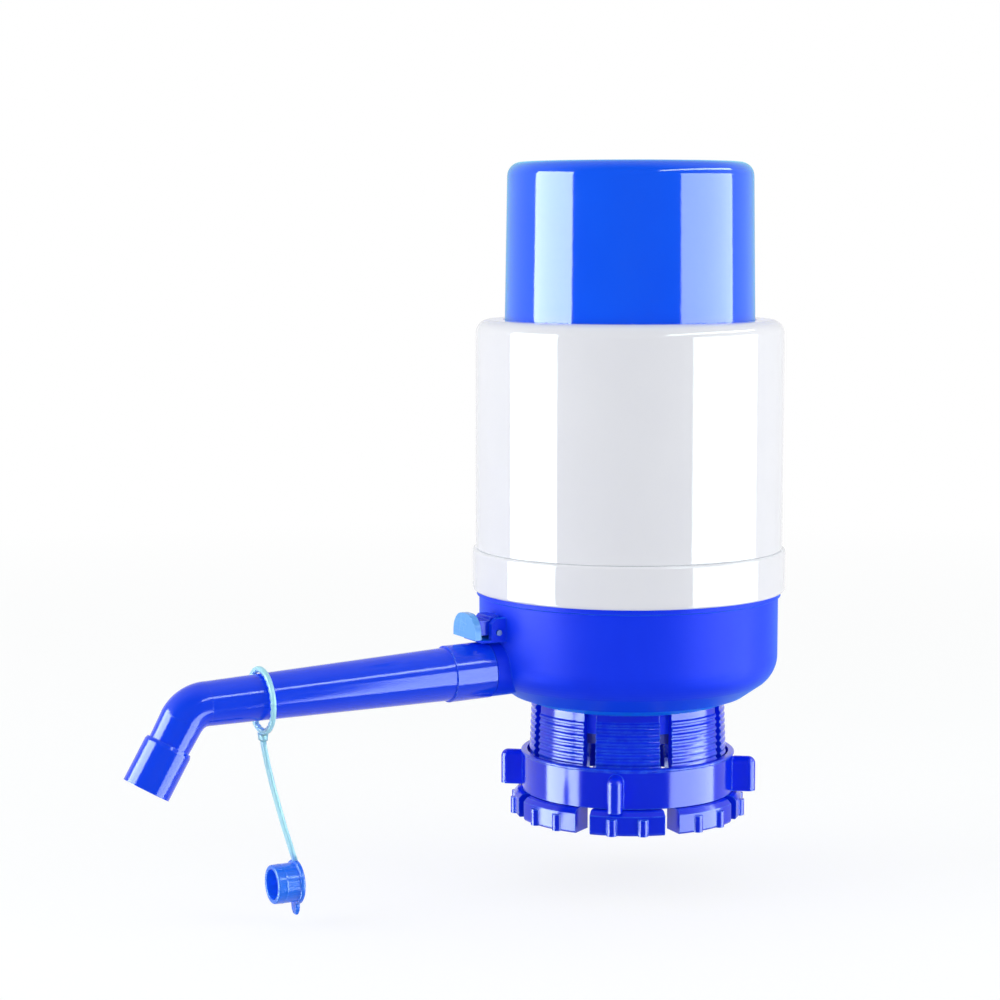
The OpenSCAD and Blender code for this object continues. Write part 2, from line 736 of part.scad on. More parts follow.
// Eight threaded fingers with flared, ribbed feet under one ring
module neck_collet() {
    span = finger_angle - slot_angle;
    color("#0a23de") {
        translate([0, 0, cup_under_z]) difference() {
            cylinder(r = finger_r + thread_depth - 2 * recess_gap, h = recess_h - recess_gap);
            translate([0, 0, -cut])
                cylinder(r = collet_relief_r + touch / 2, h = recess_h + 2 * cut);
        }
        for (i = [0 : finger_count - 1]) rotate([0, 0, finger_turn + finger_angle * i]) {
            rotate([0, 0, -span / 2]) rotate_extrude(angle = span)
                polygon(finger_outline(thread_pitch * i / finger_count));
            for (side = [-1, 1]) rotate([0, 0, side * rib_angle])
                translate([foot_r - 0.4, 0, 0]) cylinder(r = foot_rib_r, h = foot_h * 0.68);
        }
    }
}

// Screw ring with four wings, resting on the feet
module clamp_ring() {
    top = ring_z + ring_h;
    rim = 1;
    round_r = wing_t / 2;
    color("#0d1fc4") {
        rotate_extrude($fn = 96) polygon([[ring_bore_r, ring_z], [ring_r, ring_z],
            [ring_r, top - rim], [ring_r + 0.35, top - rim + 0.3], [ring_r + 0.35, top - 0.3],
            [ring_r, top], [ring_bore_r, top]]);
        rotate([0, 0, wing_turn]) ring_of(wing_count, 0) hull() {
            translate([ring_bore_r + 0.4, -wing_t / 2, ring_z + touch])
                cube([1, wing_t, ring_h - wing_drop - wing_t / 2]);
            translate([wing_r - round_r, 0, ring_z + touch]) cylinder(r = round_r, h = 6, $fn = 32);
            for (r = [wing_r - round_r, ring_r + 1])
                translate([r, 0, top - wing_drop - round_r]) sphere(r = round_r, $fn = 32);
        }
    }
}

// Two rubber rings in the spigot's grooves
module spout_o_rings() {
    color("#3a3d42") on_spout() for (z = o_ring_places) translate([0, 0, z])
        rotate_extrude() translate([o_ring_mid_r, 0]) circle(r = o_ring_r, $fn = 24);
}

// Socket, tapered tube, elbow and bell-mouthed nozzle
module spout() {
    join = 0.3;
    color("#2053f6") on_spout() difference() {
        union() {
            translate([0, 0, socket_start]) cylinder(r = socket_r, h = socket_l);
            translate([0, 0, socket_end - join])
                cylinder(r1 = tube_r, r2 = tube_end_r - 0.05, h = bend_start - socket_end + 2 * join);
            bend(tube_end_r);
            after_elbow() {
                translate([0, 0, -join]) cylinder(r1 = tube_end_r - 0.05, r2 = nozzle_end_r, h = nozzle_l + join);
                translate([0, 0, nozzle_l - join]) cylinder(r1 = bell_r - 0.4, r2 = bell_r, h = 1);
                translate([0, 0, nozzle_l - join + 1]) cylinder(r = bell_r, h = bell_l - 1 + join);
            }
        }
        translate([0, 0, socket_start - cut]) cylinder(r = socket_bore_r, h = socket_bore_end - socket_start + cut);
        translate([0, 0, socket_bore_end - cut])
            cylinder(r1 = tube_bore_r, r2 = end_bore_r - 0.05, h = bend_start - socket_bore_end + cut + join);
        bend(end_bore_r);
        after_elbow() {
            translate([0, 0, -join]) cylinder(r = end_bore_r - 0.05, h = nozzle_l + bell_l);
            translate([0, 0, nozzle_l + bell_l - bell_bore_l]) cylinder(r = bell_bore_r, h = bell_bore_l + cut);
        }
    }
}

// Thumb plate, arm and hub
module relief_lever() {
    arm_low = lever_pin_z - arm_drop;
    hub_w = arm_w;
    thumb_low = shelf_z + 1.3;
    corner = min(0.8 * thumb_h, 0.42 * thumb_w);
    color("#4a8cfb") difference() {
        union() {
            translate([-thumb_x - thumb_t / 2, 0, thumb_low]) rotate([90, 0, 90])
                linear_extrude(thumb_t) intersection() {
                    translate([-thumb_w, 0]) square([2 * thumb_w, 2 * thumb_h]);
                    union() {
                        translate([-thumb_w / 2, -1]) square([thumb_w, thumb_h - corner + 1]);
                        translate([-thumb_w / 2 + corner, -1]) square([thumb_w - 2 * corner, thumb_h + 1]);
                        for (side = [-1, 1]) translate([side * (thumb_w / 2 - corner), thumb_h - corner])
                            circle(r = corner, $fn = 48);
                    }
                }
            translate([-thumb_x, -arm_w / 2, arm_low]) cube([thumb_x - lever_pin_x, arm_w, arm_h]);
            translate([-lever_pin_x, hub_w / 2, lever_pin_z]) rotate([90, 0, 0]) {
                cylinder(r = hub_r, h = hub_w);
                translate([-hub_back, 0, 0]) cube([hub_back + hub_front, hub_top_h, hub_w]);
            }
        }
        translate([-lever_pin_x, -hub_w, lever_pin_z]) rotate([-90, 0, 0])
            cylinder(r = lever_pin_r + pin_fit, h = 2 * hub_w);
        translate([-lever_spring_x, 0, arm_low - cut]) cylinder(r = spring_pocket_r, h = spring_pocket_h + cut);
        translate([-lever_pin_x + 0.2, 0, vent_z]) rotate([0, 90, 0]) cylinder(r = seal_r + touch, h = 5);
    }
}

// Pin through the bracket's ears
module lever_pin() {
    pin_l = arm_w + 2 * (ear_gap + ear_t) + 0.6;
    color("#c8cdd4") translate([-lever_pin_x, -pin_l / 2, lever_pin_z]) rotate([-90, 0, 0])
        cylinder(r = lever_pin_r, h = pin_l);
}

// Rubber pad that closes the vent
module vent_seal() {
    color("#3a3d42") translate([-vent_seat_x - touch - seal_t, 0, vent_z]) rotate([0, 90, 0])
        cylinder(r = seal_r, h = seal_t);
}

// Small coil that lifts the lever's arm
module lever_spring() {
    color("#b9bec6") translate([-lever_spring_x, 0, 0]) coil(lever_spring_r,
        lever_spring_wire_r, lever_spring_low, lever_spring_high, lever_spring_turns, 24);
}

// Loop that hangs on the spout's tube, with the strap's eyelet
module tether_ring() {
    color("#a8e4f6") on_spout() translate([-loop_droop, 0, loop_x - loop_wire / 2]) {
        difference() {
            cylinder(r = loop_r + loop_wire, h = loop_wire);
            translate([0, 0, -cut]) cylinder(r = loop_r, h = loop_wire + 2 * cut);
        }
        translate([-loop_r - loop_wire - eyelet_h, -1.4, 0]) cube([eyelet_h + 0.8, 2.8, loop_wire]);
    }
}

// Flat strap from the loop to the dust cap
module tether_strap() {
    color("#b4e8f2") swept([for (i = [0 : len(strap_points) - 1])
        let (p = strap_points[i],
            a = strap_points[max(i - 1, 0)],
            b = strap_points[min(i + 1, len(strap_points) - 1)],
            along = (b - a) / norm(b - a))
        [for (s = [0 : 7]) let (u = 360 * (s + 0.5) / 8, out = strap_t / 2 * cos(u))
            [p[0] - along[1] * out, strap_w / 2 * sin(u), p[1] + along[0] * out]]]);
}

// Hollow plug with a flange and a pull tab
module dust_cap() {
    color("#2f73f6") translate([cap_back_x, 0, cap_mid_z]) rotate([0, -90, 0]) {
        difference() {
            union() {
                cylinder(r = flange_r, h = flange_t);
                cylinder(r = plug_r, h = flange_t + plug_l);
            }
            translate([0, 0, flange_t]) cylinder(r = plug_r - plug_wall, h = plug_l + cut);
        }
        translate([-flange_r - tab_h + 1, -tab_w / 2, 0]) cube([tab_h, tab_w, flange_t]);
    }
}

echo(return_spring_gap = coil_gap(spring_wire_r, spring_low, spring_high, spring_turns, 24));
echo(lever_spring_gap =
    coil_gap(lever_spring_wire_r, lever_spring_low, lever_spring_high, lever_spring_turns, 24));

press_cap();
bellows_top_plate();
intake_valve();
casing();
casing_collar();
bellows();
return_spring();
bellows_ring();
deck_screws();
valve_deck();
outlet_valve();
base_cup();
water_elbow();
bottle_gasket();
neck_collet();
clamp_ring();
spout_o_rings();
spout();
relief_lever();
lever_pin();
vent_seal();
lever_spring();
tether_ring();
tether_strap();
dust_cap();
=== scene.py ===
# Looks of the water jug hand pump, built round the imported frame.
import math
import bmesh
import bpy
from mathutils import Matrix, Vector


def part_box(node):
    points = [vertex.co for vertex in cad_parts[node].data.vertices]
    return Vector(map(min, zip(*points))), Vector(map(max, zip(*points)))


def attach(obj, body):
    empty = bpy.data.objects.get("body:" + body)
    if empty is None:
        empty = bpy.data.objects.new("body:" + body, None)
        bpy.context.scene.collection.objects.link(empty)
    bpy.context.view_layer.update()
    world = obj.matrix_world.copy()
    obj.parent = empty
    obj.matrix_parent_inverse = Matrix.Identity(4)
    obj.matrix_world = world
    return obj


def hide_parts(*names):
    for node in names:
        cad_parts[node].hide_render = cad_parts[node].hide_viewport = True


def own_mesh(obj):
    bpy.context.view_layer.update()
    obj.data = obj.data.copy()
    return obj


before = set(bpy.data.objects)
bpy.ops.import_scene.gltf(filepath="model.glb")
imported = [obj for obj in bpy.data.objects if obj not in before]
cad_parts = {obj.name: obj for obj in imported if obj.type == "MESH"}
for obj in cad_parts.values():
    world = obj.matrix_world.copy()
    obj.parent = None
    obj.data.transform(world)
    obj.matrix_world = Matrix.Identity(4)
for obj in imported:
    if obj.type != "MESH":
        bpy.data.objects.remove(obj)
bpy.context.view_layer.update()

# ---- Camera: a long lens that stands level with the cap, to the front and left of the pump,
# and looks a little down, with the pump to the right of the middle.
VIEW_FROM = Vector((-0.5028, -0.8644, 0))
VIEW_RIGHT = Vector((0.8644, -0.5028, 0))
AWAY, EYE_HEIGHT = 0.8154, 0.1882
ASIDE, DOWN = math.radians(2.875), math.radians(6.161)
camera = bpy.data.objects.new("camera", bpy.data.cameras.new("camera"))
bpy.context.scene.collection.objects.link(camera)
bpy.context.scene.camera = camera
camera.data.lens = 92.85
camera.data.sensor_width = 36
camera.data.clip_end = 20
camera.location = VIEW_FROM * AWAY + Vector((0, 0, EYE_HEIGHT))
level = Matrix.Rotation(ASIDE, 3, "Z") @ -VIEW_FROM
ahead = level * math.cos(DOWN) - Vector((0, 0, math.sin(DOWN)))
camera.rotation_mode = "QUATERNION"
camera.rotation_quaternion = ahead.to_track_quat("-Z", "Y")
bpy.context.scene.view_settings.view_transform = "Standard"

# ---- Light tent: a white room that the pump hangs in, with two tall soft boxes beside it. The
# room's side behind the camera is dark, as it is in front of a photographer's black cloth.
def put(tree, kind, sockets=(), **settings):
    """Adds a shader node. A socket is given another node's socket to link, or a plain value."""
    made = tree.nodes.new("ShaderNode" + kind)
    for key, value in settings.items():
        setattr(made, key, value)
    for key, value in dict(sockets).items():
        if isinstance(value, bpy.types.NodeSocket):
            tree.links.new(value, made.inputs[key])
        else:
            made.inputs[key].default_value = value
    return made


def clear_tree(owner):
    owner.use_nodes = True
    owner.node_tree.nodes.clear()
    return owner.node_tree


world = bpy.data.worlds.new("light tent")
bpy.context.scene.world = world
tree = clear_tree(world)
path = put(tree, "LightPath")
glossy_or_through = {0: path.outputs["Is Glossy Ray"], 1: path.outputs["Is Transmission Ray"]}
through = put(tree, "Math", glossy_or_through, operation="MAXIMUM")
seen = put(tree, "Math", {0: path.outputs["Is Camera Ray"], 1: through.outputs[0]}, operation="MAXIMUM")
way = put(tree, "TexCoord")
facing = put(tree, "VectorMath", {0: way.outputs["Generated"], 1: VIEW_FROM}, operation="DOT_PRODUCT")
white_to_black = {"From Min": -0.1, "From Max": 0.6, "To Min": 0.9, "To Max": 0.1}
cloth = put(tree, "MapRange", {"Value": facing.outputs["Value"], **white_to_black})
cloth_for_gloss = {0: cloth.outputs[0], 1: path.outputs["Is Camera Ray"]}
cloth_or_white = put(tree, "Math", cloth_for_gloss, operation="MAXIMUM")
shown = put(tree, "Background", {"Color": cloth_or_white.outputs[0], "Strength": 1.0})
lighting = put(tree, "Background", {"Color": (0.97, 0.985, 1.0, 1), "Strength": 0.5})
both = put(tree, "MixShader", {0: seen.outputs[0], 1: lighting.outputs[0], 2: shown.outputs[0]})
tree.links.new(both.outputs[0], put(tree, "OutputWorld").inputs[0])


COOL, PLAIN = (0.82, 1.0, 1.0), (1, 1, 1)


def soft_box(name, turn, distance, width, height, middle, power, sheen=False, rise=0):
    """A flat lamp that faces the pump. turn is its angle to the right of the camera, seen from the
    pump, and rise its angle above level. A sheen lamp shows only in gloss, and any other lamp only
    lights the surfaces."""
    lamp = bpy.data.lights.new(name, "AREA")
    lamp.shape = "RECTANGLE"
    lamp.size, lamp.size_y, lamp.energy = width, height, power
    lamp.color = COOL if sheen else PLAIN
    stand = bpy.data.objects.new(name, lamp)
    bpy.context.scene.collection.objects.link(stand)
    out = VIEW_FROM * math.cos(math.radians(turn)) + VIEW_RIGHT * math.sin(math.radians(turn))
    out = out * math.cos(math.radians(rise)) + Vector((0, 0, math.sin(math.radians(rise))))
    stand.location = out * distance + Vector((0, 0, middle))
    stand.rotation_mode = "QUATERNION"
    stand.rotation_quaternion = (-out).to_track_quat("-Z", "Y")
    stand.visible_camera = False
    stand.visible_diffuse = not sheen
    stand.visible_glossy = sheen


# The sheen lamps stand a hand's width nearer, because a lamp behind another would hide its gloss
soft_box("soft_box_right", 76, 0.85, 0.9, 1.3, 0.12, 7.0)
soft_box("soft_box_left", -75, 0.85, 0.7, 1.3, 0.12, 7.0)
soft_box("front_fill", 10, 1.2, 0.9, 0.9, 0.35, 2.0)
soft_box("soft_box_right_sheen", 76, 0.75, 0.86, 0.825, -0.1125, 20, sheen=True)
soft_box("soft_box_left_sheen", -74.5, 0.75, 0.59, 0.975, -0.0375, 27.8, sheen=True)
soft_box("top_strip_sheen", 72, 0.9, 1.3, 0.11, 0.05, 6, sheen=True, rise=41)

# ---- Floor: pale card under the hanging dust cap, which takes the pump's soft shadow and runs out
# into the white of the room.
floor_mesh = bpy.data.meshes.new("floor")
shape = bmesh.new()
bmesh.ops.create_circle(shape, cap_ends=True, segments=96, radius=2.5)
shape.to_mesh(floor_mesh)
shape.free()
floor = bpy.data.objects.new("floor", floor_mesh)
floor.location.z = -0.0225
bpy.context.scene.collection.objects.link(floor)
floor.visible_glossy = False
card = bpy.data.materials.new("pale card")
tree = clear_tree(card)
spot = put(tree, "NewGeometry")
far = put(tree, "VectorMath", {0: spot.outputs["Position"]}, operation="LENGTH")
fade = put(tree, "MapRange", {"Value": far.outputs["Value"], "From Min": 0.3, "From Max": 1.0})
paper = put(tree, "TexNoise", {"Vector": spot.outputs["Position"], "Scale": 900.0, "Detail": 4.0})
paper_tone = put(tree, "MapRange", {"Value": paper.outputs["Fac"], "To Min": 0.24, "To Max": 0.26})
card_face = put(tree, "BsdfDiffuse", {"Color": paper_tone.outputs[0]})
card_glow = put(tree, "Emission", {"Color": (0.99, 1.0, 1.0, 1), "Strength": 0.8})
card_lit = put(tree, "AddShader", {0: card_face.outputs[0], 1: card_glow.outputs[0]})
card_far = put(tree, "Emission", {"Color": (1, 1, 1, 1), "Strength": 1.0})
card_all = put(tree, "MixShader", {0: fade.outputs[0], 1: card_lit.outputs[0], 2: card_far.outputs[0]})
card_path = put(tree, "LightPath")
card_dull = put(tree, "BsdfDiffuse", {"Color": (0.8, 0.8, 0.8, 1)})
by_camera = card_path.outputs["Is Camera Ray"]
card_seen = put(tree, "MixShader", {0: by_camera, 1: card_dull.outputs[0], 2: card_all.outputs[0]})
tree.links.new(card_seen.outputs[0], put(tree, "OutputMaterial").inputs[0])
floor_mesh.materials.append(card)


# ---- Dust cap: the soft blue plug for the nozzle's mouth. It is moulded hollow, with a round
# flange that stops it and a pointed tab to pull it out by. It hangs on the strap.
MM = 0.001


def group_tree(name, inputs, outputs):
    group = bpy.data.node_groups.new(name, "ShaderNodeTree")
    for key, value in inputs.items():
        socket = group.interface.new_socket(name=key, in_out="INPUT", socket_type="NodeSocketFloat")
        socket.default_value = value
    for key in outputs:
        group.interface.new_socket(name=key, in_out="OUTPUT", socket_type="NodeSocketFloat")
    return group, group.nodes.new("NodeGroupInput"), group.nodes.new("NodeGroupOutput")


# Moulded plastic's skin: slow flow tone, fine grain, and the slight waves of a polished mould
scales = {"Flow": 30.0, "Grain": 2600.0, "Waves": 160.0}
skin, given, result = group_tree("moulded skin", scales, ("Tone", "Grain", "Height"))
where = put(skin, "TexCoord")
here = where.outputs["Object"]
flow_scale = given.outputs["Flow"]
flow = put(skin, "TexNoise", {"Vector": here, "Scale": flow_scale, "Detail": 3.0, "Distortion": 0.6})
tone = put(skin, "MapRange", {"Value": flow.outputs["Fac"], "From Min": 0.3, "From Max": 0.7})
grain = put(skin, "TexNoise", {"Vector": here, "Scale": given.outputs["Grain"], "Detail": 2.0})
waves = put(skin, "TexNoise", {"Vector": here, "Scale": given.outputs["Waves"], "Detail": 1.0})
grain_on_waves = {0: grain.outputs["Fac"], 1: 0.12, 2: waves.outputs["Fac"]}
height = put(skin, "Math", grain_on_waves, operation="MULTIPLY_ADD")
skin.links.new(tone.outputs[0], result.inputs["Tone"])
skin.links.new(grain.outputs["Fac"], result.inputs["Grain"])
skin.links.new(height.outputs[0], result.inputs["Height"])

# Edge wear and painted highlight: where the surface turns sharply, the skin is made paler in patches,
# partly as rub wear and partly as a painted highlight of the light that edges catch
wear_and_highlight, given, result = group_tree("edge wear", {"Reach": 0.0007, "Patch": 300.0}, ("Mask",))
turned_normal = put(wear_and_highlight, "Bevel", {"Radius": given.outputs["Reach"]}, samples=4)
straight = put(wear_and_highlight, "NewGeometry")
normals = {0: turned_normal.outputs[0], 1: straight.outputs["Normal"]}
same = put(wear_and_highlight, "VectorMath", normals, operation="DOT_PRODUCT")
edge = put(wear_and_highlight, "MapRange", {"Value": same.outputs["Value"], "From Min": 0.995, "From Max": 0.9})
where = put(wear_and_highlight, "TexCoord")
patch_scale = given.outputs["Patch"]
patch = put(wear_and_highlight, "TexNoise", {"Vector": where.outputs["Object"], "Scale": patch_scale, "Detail": 4.0})
patch_floor = {"From Min": 0.35, "From Max": 0.65, "To Min": 0.25, "To Max": 1.0}
patchy = put(wear_and_highlight, "MapRange", {"Value": patch.outputs["Fac"], **patch_floor})
mask = put(wear_and_highlight, "Math", {0: edge.outputs[0], 1: patchy.outputs[0]}, operation="MULTIPLY")
wear_and_highlight.links.new(mask.outputs[0], result.inputs["Mask"])

# Hair scratches: thin rub lines that run round and along the piece, seen only in its gloss
rubs, given, result = group_tree("hair scratches", {"Scale": 60.0, "Share": 0.018}, ("Mask",))
where = put(rubs, "TexCoord")
share = given.outputs["Share"]
total = None
for stretch in ((1, 1, 14), (9, 9, 1)):
    tilt = (0.2, 0.3, stretch[2])
    laid = put(rubs, "Mapping", {"Vector": where.outputs["Object"], "Scale": stretch, "Rotation": tilt})
    cells = {"Vector": laid.outputs[0], "Scale": given.outputs["Scale"]}
    lines = put(rubs, "TexVoronoi", cells, feature="DISTANCE_TO_EDGE")
    thin = put(rubs, "Math", {0: lines.outputs["Distance"], 1: share}, operation="LESS_THAN")
    if total is not None:
        thin = put(rubs, "Math", {0: total.outputs[0], 1: thin.outputs[0]}, operation="MAXIMUM")
    total = thin
broken = put(rubs, "TexNoise", {"Vector": where.outputs["Object"], "Scale": 90.0, "Detail": 3.0})
kept = put(rubs, "MapRange", {"Value": broken.outputs["Fac"], "From Min": 0.5, "From Max": 0.62})
mask = put(rubs, "Math", {0: total.outputs[0], 1: kept.outputs[0]}, operation="MULTIPLY")
rubs.links.new(mask.outputs[0], result.inputs["Mask"])


def moulded(name, colour, deep, pale, rough, grit=0.05, bump=0.03, wear_and_highlight_share=0.35,
        grain=2600.0, waves=160.0, scratches=0.06, painted_highlight=None, **shader):
    """Moulded plastic or rubber: colour runs to deep with the melt's flow, and to pale on sharp edges,
    partly as rub wear and partly as a painted highlight of the light that edges catch. A second, lighter
    colour and the X that it starts at may be given, a painted highlight on a piece's thin end where the
    light falls on it. More words are sockets of the Principled shader, with their spaces as underscores."""
    made = bpy.data.materials.new(name)
    tree = clear_tree(made)
    surface = put(tree, "Group", node_tree=skin)
    surface.inputs["Grain"].default_value, surface.inputs["Waves"].default_value = grain, waves
    rubbed_and_lit = put(tree, "Group", node_tree=wear_and_highlight)
    lines = put(tree, "Group", node_tree=rubs)
    melt = {0: surface.outputs["Tone"], 6: (*deep, 1), 7: (*colour, 1)}
    body = put(tree, "Mix", melt, data_type="RGBA").outputs[2]
    # A lighter colour from a given X outwards: a painted highlight on a thin end that catches the light
    if painted_highlight:
        highlight_colour, highlight_start = painted_highlight
        blend = 0.6 * MM
        place = put(tree, "SeparateXYZ", {0: put(tree, "TexCoord").outputs["Object"]})
        reach = {"From Min": highlight_start + blend, "From Max": highlight_start - blend, "Value": place.outputs["X"]}
        share = put(tree, "MapRange", reach)
        with_highlight = {0: share.outputs[0], 6: body, 7: (*highlight_colour, 1)}
        body = put(tree, "Mix", with_highlight, data_type="RGBA").outputs[2]
    # Sharp edges run to the pale colour: partly rub wear, partly painted edge highlight
    worn_and_lit = put(tree, "Math", {0: rubbed_and_lit.outputs["Mask"], 1: wear_and_highlight_share}, operation="MULTIPLY")
    edged = put(tree, "Mix", {0: worn_and_lit.outputs[0], 6: body, 7: (*pale, 1)}, data_type="RGBA")
    grainy = {0: surface.outputs["Grain"], 1: grit, 2: rough - grit / 2}
    dull = put(tree, "Math", grainy, operation="MULTIPLY_ADD")
    rub = {0: lines.outputs["Mask"], 1: scratches, 2: dull.outputs[0]}
    scratched = put(tree, "Math", rub, operation="MULTIPLY_ADD")
    soft_edge = put(tree, "Bevel", {"Radius": 0.25 * MM}, samples=4)
    relief = put(tree, "Bump", {
        "Strength": bump, "Distance": 0.4 * MM, "Height": surface.outputs["Height"],
        "Normal": soft_edge.outputs[0]})
    plastic = put(tree, "BsdfPrincipled", {
        "Base Color": edged.outputs[2], "Roughness": scratched.outputs[0], "Normal": relief.outputs[0],
        **{key.replace("_", " "): value for key, value in shader.items()}})
    tree.links.new(plastic.outputs[0], put(tree, "OutputMaterial").inputs[0])
    return made


def rounded(corners, steps=5):
    """A closed outline of radius and height whose corners are rounded, each by its own third number."""
    line = []
    for i, (x, z, r) in enumerate(corners):
        p, a = Vector((x, z)), Vector(corners[i - 1][:2])
        b = Vector(corners[(i + 1) % len(corners)][:2])
        if not r:
            line.append(p)
            continue
        u, v = (a - p).normalized(), (b - p).normalized()
        half = u.angle(v) / 2
        back = min(r / math.tan(half), 0.48 * (a - p).length, 0.48 * (b - p).length)
        middle = p + (u + v).normalized() * (back / math.cos(half))
        size = back * math.tan(half)
        first, last = p + u * back - middle, p + v * back - middle
        a0 = math.atan2(first.y, first.x)
        turn = (math.atan2(last.y, last.x) - a0 + math.pi) % (2 * math.pi) - math.pi
        angles = [a0 + turn * k / steps for k in range(steps + 1)]
        line += [middle + size * Vector((math.cos(a), math.sin(a))) for a in angles]
    return line


def turned(shape, outline, around=192):
    """Adds to a bmesh what a closed outline in mm makes when it turns round the Z axis."""
    rings = []
    for x, z in outline:
        count = 1 if x < 1e-6 else around
        angles = [math.tau * k / around for k in range(count)]
        ring = [(x * math.cos(a) * MM, x * math.sin(a) * MM, z * MM) for a in angles]
        rings.append([shape.verts.new(point) for point in ring])
    for low, high in zip(rings, rings[1:] + rings[:1]):
        for k in range(around):
            n = (k + 1) % around
            corners = (low[k % len(low)], low[n % len(low)], high[n % len(high)], high[k % len(high)])
            corners = list(dict.fromkeys(corners))
            if len(corners) > 2:
                shape.faces.new(corners)


def lofted(shape, sections, closed=False):
    """Adds a skin over a row of closed rings of points in mm. An open row gets flat ends."""
    rings = [[shape.verts.new(Vector(p) * MM) for p in ring] for ring in sections]
    for a, b in zip(rings, rings[1:] + rings[:1] if closed else rings[1:]):
        for k in range(len(a)):
            n = (k + 1) % len(a)
            shape.faces.new((a[k], a[n], b[n], b[k]))
    if not closed:
        shape.faces.new(rings[0][::-1])
        shape.faces.new(rings[-1])


def placed(shape, matrix, start=0):
    """Moves the bmesh's points from number start on by a matrix in metres."""
    shape.verts.ensure_lookup_table()
    for point in shape.verts[start:]:
        point.co = matrix @ point.co


def piece(name, shape, material, body, replaces=(), bevel=0.0):
    """Makes a smooth-shaded piece from a bmesh, on its CAD body and in place of its CAD nodes."""
    bmesh.ops.recalc_face_normals(shape, faces=shape.faces)
    mesh = bpy.data.meshes.new(name)
    shape.to_mesh(mesh)
    shape.free()
    mesh.shade_smooth()
    mesh.materials.append(material)
    made = bpy.data.objects.new(name, mesh)
    bpy.context.scene.collection.objects.link(made)
    if bevel:
        edge = made.modifiers.new("edges", "BEVEL")
        edge.width, edge.segments = bevel * MM, 3
        edge.limit_method, edge.angle_limit = "ANGLE", math.radians(40)
    made.modifiers.new("shading", "WEIGHTED_NORMAL").keep_sharp = True
    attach(made, body)
    if replaces:
        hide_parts(*replaces)
    return made


def finish_node(name, material):
    """Gives a CAD node its finished material."""
    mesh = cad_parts[name].data
    for k in range(len(mesh.materials)):
        mesh.materials[k] = material


# The plug lies along X: its flat back is at PLUG_BACK and its axis at PLUG_Z
PLUG_BACK, PLUG_Z = -114.815, -9.84
plug_blue = moulded("plug blue", (0.016, 0.2, 1.0), (0.01, 0.16, 0.96), (0.16, 0.46, 1.0), 0.2, bump=0.06)
shape = bmesh.new()
turned(shape, rounded([
    (0, 0, 0), (2.2, 0, 0.2), (2.5, 0.25, 0.2), (6.8, 0, 0.45), (6.8, 1.4, 0.45), (5.95, 1.4, 0.15),
    (5.95, 5.2, 0.2), (6.02, 5.7, 0.2), (5.95, 6.2, 0.2), (5.9, 8.38, 0.5), (4.55, 8.38, 0.3),
    (4.55, 1.4, 0.4), (0, 1.4, 0)], 5), 96)
# The tab's heights, with its half width and its two faces at each
tab = ((-5.6, 2.0, 0.02, 1.38), (-7.0, 1.95, 0.0, 1.4), (-8.6, 1.7, 0.05, 1.35), (-9.96, 1.0, 0.25, 1.15))
lofted(shape, [((h, -w, a), (h, w, a), (h, w, b), (h, -w, b)) for h, w, a, b in tab])
laid_down = Matrix.Rotation(math.radians(-90), 4, "Y")
placed(shape, Matrix.Translation((PLUG_BACK * MM, 0, PLUG_Z * MM)) @ laid_down)
plug = piece("dust_plug", shape, plug_blue, "tether", ["dust_cap"], bevel=0.18)

# ---- Tether strap: a flat, pale ribbon of soft polythene, moulded in one with its loop. It leaves
# the loop's eyelet, hangs down beside the spout and ends on the dust cap's flange.
EYELET = Vector((-125.515, 0, 34.46))
ROUTE = [
    (0, 0.1), (0.3, -2.3), (0.8, -4.8), (1.3, -7.3), (1.9, -9.8), (2.5, -12.3), (3.1, -14.8), (3.8, -17.3),
    (4.5, -19.8), (5.2, -22.3), (5.9, -24.8), (6.6, -27.3), (7.4, -29.8), (8.2, -32.3), (9, -34.9),
    (9.9, -37.6)]
ribbon_line = [EYELET + Vector((x, 0, z)) for x, z in ROUTE]
tether_cyan = moulded(
    "tether cyan", (0.44, 0.85, 0.96), (0.38, 0.78, 0.92), (0.66, 0.92, 0.97), 0.3, bump=0.08,
    Subsurface_Weight=0.25, Subsurface_Radius=(0.002, 0.003, 0.004))
RIBBON_SECTION = (
    (0.65, -0.85), (0.65, 0.85), (0.45, 1.1), (0.15, 1.2), (-0.15, 1.2), (-0.45, 1.1),
    (-0.65, 0.85), (-0.65, -0.85), (-0.45, -1.1), (-0.15, -1.2), (0.15, -1.2), (0.45, -1.1))
shape = bmesh.new()
sections = []
for i, p in enumerate(ribbon_line):
    along = (ribbon_line[min(i + 1, len(ribbon_line) - 1)] - ribbon_line[max(i - 1, 0)]).normalized()
    out = Vector((-along.z, 0, along.x))
    sections.append([p + out * a + Vector((0, b, 0)) for a, b in RIBBON_SECTION])
lofted(shape, sections)
ribbon = piece("strap_ribbon", shape, tether_cyan, "tether", ["tether_strap"])

